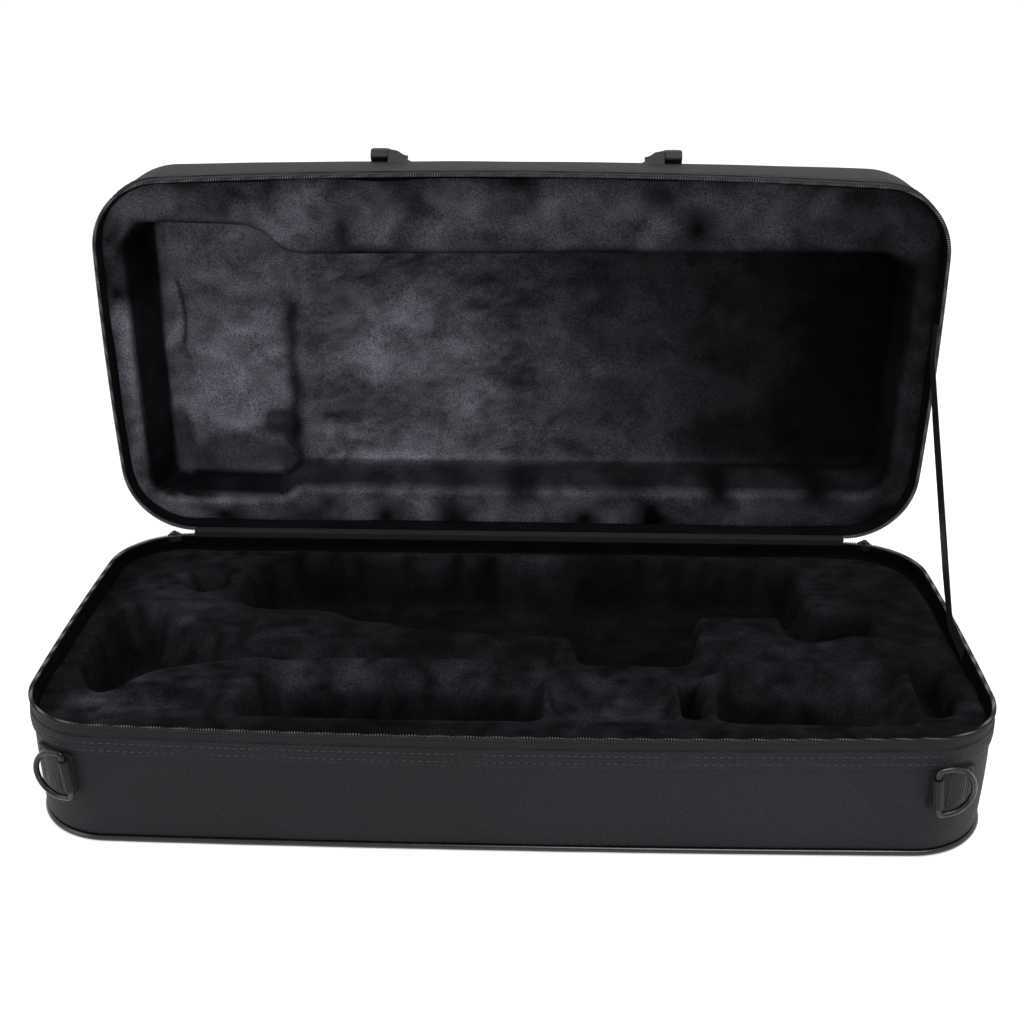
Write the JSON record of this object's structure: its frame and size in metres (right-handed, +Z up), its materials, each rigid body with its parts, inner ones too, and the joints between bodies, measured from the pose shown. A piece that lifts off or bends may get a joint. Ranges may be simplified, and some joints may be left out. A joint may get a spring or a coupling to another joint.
{
  "type": "musical instrument case",
  "caption": "Soft rectangular zip-round case with rounded corners, a padded lid held open by a ribbon, a plush insert fitted to a trumpet, a top handle and corner carrying rings.",
  "frame": {"origin": "centre of the base's underside, on the surface it stands on", "axes": "+X to the right along the long front, +Y towards the rear hinge, +Z up; the lid stands open"},
  "size_m": [0.5258, 0.325, 0.3218],
  "materials": {
    "zipper_chain": "matte moulded coil",
    "zipper_tape": "woven tape",
    "stitched_band": "woven nylon, stitched along both edges",
    "cover_cloth": "fine woven nylon",
    "piping": "smooth, slightly glossy imitation leather",
    "plush": "short crushed plush",
    "foam_core": "foam",
    "board": "thin fibreboard",
    "ribbon": "narrow woven tape",
    "webbing": "ribbed webbing",
    "ring_metal": "black, slightly glossy",
    "slider_metal": "black, satin",
    "handle_pin": "satin",
    "handle_leather": "black imitation leather"
  },
  "bodies": {
    "base": {"base_bottom_cover": "cover_cloth", "base_floor_board": "board", "base_insert": "plush", "base_piping": "piping", "base_rim_liner": "plush", "base_side_cover": "cover_cloth", "base_stitched_band": "stitched_band", "base_wall_core": "foam_core", "base_zipper_chain": "zipper_chain", "base_zipper_tape": "zipper_tape", "hinge_cloth_inner": "cover_cloth", "hinge_cloth_outer": "cover_cloth", "left_ring_web": "webbing", "right_ring_web": "webbing", "stay_ribbon": "ribbon"},
    "lid": {"left_handle_chape": "handle_leather", "lid_core": "foam_core", "lid_cover": "cover_cloth", "lid_lining": "plush", "lid_rim_liner": "plush", "lid_stitched_band": "stitched_band", "lid_zipper_chain": "zipper_chain", "lid_zipper_tape": "zipper_tape", "right_handle_chape": "handle_leather"},
    "handle": {"handle_grip": "handle_leather", "handle_strap": "handle_leather", "left_handle_pin": "handle_pin", "right_handle_pin": "handle_pin"},
    "left_ring": {"left_carrying_ring": "ring_metal"},
    "right_ring": {"right_carrying_ring": "ring_metal"},
    "left_slider": {"left_zipper_slider": "slider_metal"},
    "right_slider": {"right_zipper_slider": "slider_metal"},
    "left_pull": {"left_zipper_pull": "slider_metal"},
    "right_pull": {"right_zipper_pull": "slider_metal"}
  },
  "joints": [
    {"name": "lid_hinge", "type": "hinge", "parent": "base", "child": "lid", "pos_m": [0, 0.1167, 0.076], "axis": [1, 0, 0], "range_deg": [0, 88.2], "deforming": ["stay_ribbon", "hinge_cloth_outer", "hinge_cloth_inner"]},
    {"name": "handle_hinge", "type": "hinge", "parent": "lid", "child": "handle", "pos_m": [0.0035, 0.16311, 0.31823], "axis": [1, 0, 0], "range_deg": [0, 204]},
    {"name": "left_ring_hinge", "type": "hinge", "parent": "base", "child": "left_ring", "pos_m": [-0.23187, -0.1194, 0.044], "axis": [-0.1072, 0.0365, 0.9936], "range_deg": [0, 165]},
    {"name": "right_ring_hinge", "type": "hinge", "parent": "base", "child": "right_ring", "pos_m": [0.22385, -0.1214, 0.044], "axis": [0.1118, 0.0181, -0.9936], "range_deg": [0, 165]},
    {"name": "left_slider_run", "type": "hinge", "parent": "base", "child": "left_slider", "pos_m": [-0.21601, 0.0709, 0.076], "axis": [0, 0, 1], "range_deg": [0, 64]},
    {"name": "left_pull_hinge", "type": "hinge", "parent": "left_slider", "child": "left_pull", "pos_m": [-0.23112, 0.11741, 0.0742], "axis": [0.9511, 0.309, 0], "range_deg": [0, 80]},
    {"name": "right_slider_run", "type": "hinge", "parent": "base", "child": "right_slider", "pos_m": [0.21601, 0.0709, 0.076], "axis": [0, 0, -1], "range_deg": [0, 64]},
    {"name": "right_pull_hinge", "type": "hinge", "parent": "right_slider", "child": "right_pull", "pos_m": [0.23112, 0.11741, 0.0742], "axis": [0.9511, -0.309, 0], "range_deg": [0, 80]}
  ]
}
